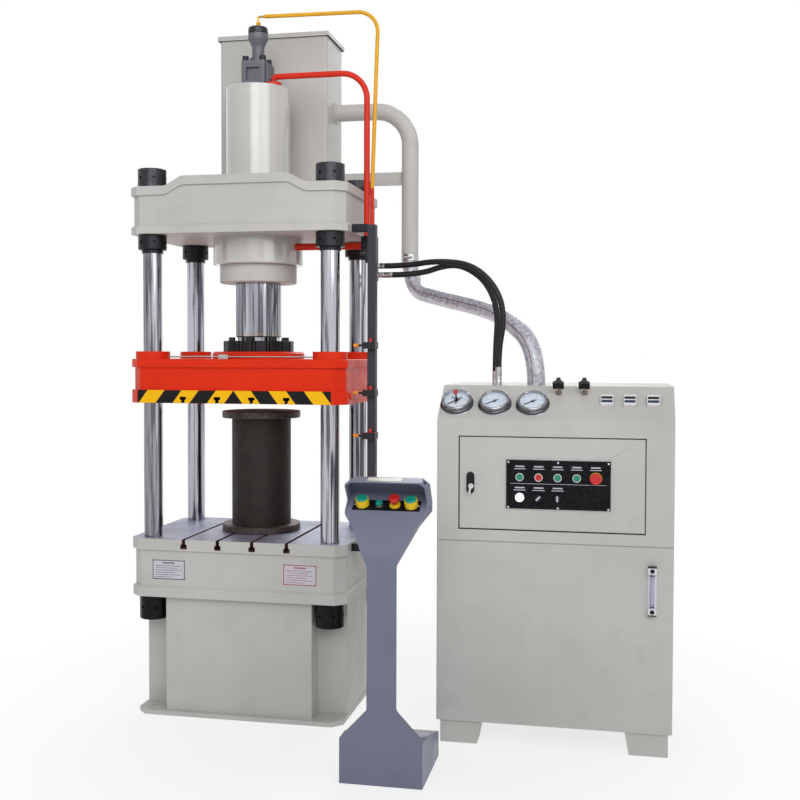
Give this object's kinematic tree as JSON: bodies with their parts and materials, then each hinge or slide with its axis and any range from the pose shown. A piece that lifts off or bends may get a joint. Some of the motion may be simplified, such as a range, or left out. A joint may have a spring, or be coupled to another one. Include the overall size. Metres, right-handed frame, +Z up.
{
  "type": "four-column hydraulic press",
  "caption": "Upright hydraulic press: chromed columns carry a slotted bed, a ram-driven slide and a crown with the main cylinder; a power cabinet and a two-hand stand beside it.",
  "frame": {"origin": "centre of the press's foot plate on the floor, on the ram's axis", "axes": "+Z up along the ram, +X towards the power cabinet, -Y towards the operator"},
  "size_m": [2.1225, 1.26, 2.8505],
  "materials": {
    "cream_paint": "gloss",
    "red_paint": "gloss",
    "slide_paint": "gloss",
    "yellow_paint": "gloss",
    "machined_steel": "satin",
    "hard_chrome": "polished",
    "black_steel": "satin",
    "dark_grey_paint": "satin",
    "bronze": "satin",
    "brass": "satin",
    "blued_screws": "satin",
    "clear_hose": "gloss",
    "black_rubber": "matte",
    "stand_paint": "satin",
    "black_plastic": "matte",
    "white_plastic": "matte",
    "green_plastic": "gloss",
    "red_plastic": "gloss",
    "yellow_plastic": "gloss",
    "gauge_steel": "satin",
    "sensor_plastic": "matte"
  },
  "bodies": {
    "press": {"base_frame": "cream_paint", "bed": "cream_paint", "columns": "hard_chrome", "column_nuts": "black_steel", "crown": "cream_paint", "cylinder_barrel": "cream_paint", "gland_cover": "cream_paint", "valve_block": "dark_grey_paint", "valve_bonnet": "dark_grey_paint", "socket_bolts": "blued_screws", "pilot_fitting": "brass", "pilot_pipe": "yellow_paint", "pressure_pipe": "red_paint", "return_pipe": "red_paint", "hose_manifold": "cream_paint", "switch_rail": "dark_grey_paint", "oil_tank": "cream_paint", "fill_pipe": "cream_paint", "hose_clamp": "machined_steel", "hose_ferrules": "machined_steel", "support_post": "black_steel", "console_housing": "cream_paint", "oil_reservoir": "cream_paint", "cabinet_feet": "cream_paint", "gauge_cases": "gauge_steel", "indicator_blocks": "white_plastic", "oil_level_gauge": "machined_steel", "control_stand": "stand_paint", "stand_panel": "black_plastic", "button_shrouds": "yellow_plastic", "suction_hose": "clear_hose", "pressure_hose_upper": "black_rubber", "pressure_hose_lower": "black_rubber"},
    "slide_assembly": {"slide": "slide_paint", "slide_bushings": "bronze", "ram": "hard_chrome", "rod_clamp_ring": "black_steel", "grease_tubes": "machined_steel"},
    "low_sensor": {"low_sensor": "sensor_plastic"},
    "middle_sensor": {"middle_sensor": "sensor_plastic"},
    "high_sensor": {"high_sensor": "sensor_plastic"},
    "door": {"cabinet_door": "cream_paint", "control_panel": "black_plastic"},
    "lock": {"door_lock": "black_plastic"},
    "left_green_button": {"left_green_button": "green_plastic"},
    "red_button": {"red_button": "red_plastic"},
    "middle_green_button": {"middle_green_button": "green_plastic"},
    "right_green_button": {"right_green_button": "green_plastic"},
    "cabinet_stop_button": {"cabinet_stop_button": "red_plastic"},
    "left_selector": {"left_selector": "black_plastic"},
    "right_selector": {"right_selector": "black_plastic"},
    "left_gauge_needle": {"left_gauge_needle": "black_steel"},
    "middle_gauge_needle": {"middle_gauge_needle": "black_steel"},
    "right_gauge_needle": {"right_gauge_needle": "black_steel"},
    "left_valve_knob": {"left_valve_knob": "black_plastic"},
    "right_valve_knob": {"right_valve_knob": "black_plastic"},
    "left_palm_button": {"left_palm_button": "green_plastic"},
    "right_palm_button": {"right_palm_button": "green_plastic"},
    "stand_start_button": {"stand_start_button": "green_plastic"},
    "stand_stop_button": {"stand_stop_button": "red_plastic"}
  },
  "joints": [
    {"name": "slide_travel", "type": "slide", "parent": "press", "child": "slide_assembly", "axis": [0, 0, 1], "range_m": [-0.04, 0.215]},
    {"name": "low_sensor_setting", "type": "slide", "parent": "press", "child": "low_sensor", "axis": [0, 0, 1], "range_m": [-0.06, 0.06]},
    {"name": "middle_sensor_setting", "type": "slide", "parent": "press", "child": "middle_sensor", "axis": [0, 0, 1], "range_m": [-0.06, 0.06]},
    {"name": "high_sensor_setting", "type": "slide", "parent": "press", "child": "high_sensor", "axis": [0, 0, 1], "range_m": [-0.06, 0.06]},
    {"name": "door_hinge", "type": "hinge", "parent": "press", "child": "door", "pos_m": [1.574, -0.347, 0.9795], "axis": [0, 0, 1], "range_deg": [0, 110]},
    {"name": "lock_turn", "type": "hinge", "parent": "door", "child": "lock", "pos_m": [0.941, -0.347, 0.9995], "axis": [0, -1, 0], "range_deg": [0, 90]},
    {"name": "left_green_button_press", "type": "slide", "parent": "door", "child": "left_green_button", "axis": [0, 1, 0], "range_m": [0, 0.003], "stiffness_N_per_m": 1000, "springref_m": -0.002},
    {"name": "red_button_press", "type": "slide", "parent": "door", "child": "red_button", "axis": [0, 1, 0], "range_m": [0, 0.003], "stiffness_N_per_m": 1000, "springref_m": -0.002},
    {"name": "middle_green_button_press", "type": "slide", "parent": "door", "child": "middle_green_button", "axis": [0, 1, 0], "range_m": [0, 0.003], "stiffness_N_per_m": 1000, "springref_m": -0.002},
    {"name": "right_green_button_press", "type": "slide", "parent": "door", "child": "right_green_button", "axis": [0, 1, 0], "range_m": [0, 0.003], "stiffness_N_per_m": 1000, "springref_m": -0.002},
    {"name": "cabinet_stop_button_press", "type": "slide", "parent": "door", "child": "cabinet_stop_button", "axis": [0, 1, 0], "range_m": [0, 0.005], "stiffness_N_per_m": 1000, "springref_m": -0.002},
    {"name": "left_selector_turn", "type": "hinge", "parent": "door", "child": "left_selector", "pos_m": [1.192, -0.347, 0.93], "axis": [0, 1, 0], "range_deg": [-90, 0]},
    {"name": "right_selector_turn", "type": "hinge", "parent": "door", "child": "right_selector", "pos_m": [1.261, -0.347, 0.93], "axis": [0, 1, 0], "range_deg": [-45, 45]},
    {"name": "left_gauge_reading", "type": "hinge", "parent": "press", "child": "left_gauge_needle", "pos_m": [0.879, -0.27861, 1.26515], "axis": [0, -0.6063, 0.7952], "range_deg": [-270, 0], "stiffness_Nm_per_rad": 0.005, "springref_deg": 11.46},
    {"name": "middle_gauge_reading", "type": "hinge", "parent": "press", "child": "middle_gauge_needle", "pos_m": [1.022, -0.27861, 1.26515], "axis": [0, -0.6063, 0.7952], "range_deg": [-270, 0], "stiffness_Nm_per_rad": 0.005, "springref_deg": 11.46},
    {"name": "right_gauge_reading", "type": "hinge", "parent": "press", "child": "right_gauge_needle", "pos_m": [1.163, -0.27861, 1.26515], "axis": [0, -0.6063, 0.7952], "range_deg": [-270, 0], "stiffness_Nm_per_rad": 0.005, "springref_deg": 11.46},
    {"name": "left_valve_turn", "type": "hinge", "parent": "press", "child": "left_valve_knob", "pos_m": [1.255, -0.22374, 1.30698], "axis": [0, -0.6063, 0.7952], "continuous": true},
    {"name": "right_valve_turn", "type": "hinge", "parent": "press", "child": "right_valve_knob", "pos_m": [1.35, -0.22374, 1.30698], "axis": [0, -0.6063, 0.7952], "continuous": true},
    {"name": "left_palm_button_press", "type": "slide", "parent": "press", "child": "left_palm_button", "axis": [0, 0.5, -0.866], "range_m": [0, 0.008], "stiffness_N_per_m": 1000, "springref_m": -0.002},
    {"name": "right_palm_button_press", "type": "slide", "parent": "press", "child": "right_palm_button", "axis": [0, 0.5, -0.866], "range_m": [0, 0.008], "stiffness_N_per_m": 1000, "springref_m": -0.002},
    {"name": "stand_start_button_press", "type": "slide", "parent": "press", "child": "stand_start_button", "axis": [0, 0.5, -0.866], "range_m": [0, 0.004], "stiffness_N_per_m": 1000, "springref_m": -0.002},
    {"name": "stand_stop_button_press", "type": "slide", "parent": "press", "child": "stand_stop_button", "axis": [0, 0.5, -0.866], "range_m": [0, 0.006], "stiffness_N_per_m": 1000, "springref_m": -0.002}
  ]
}
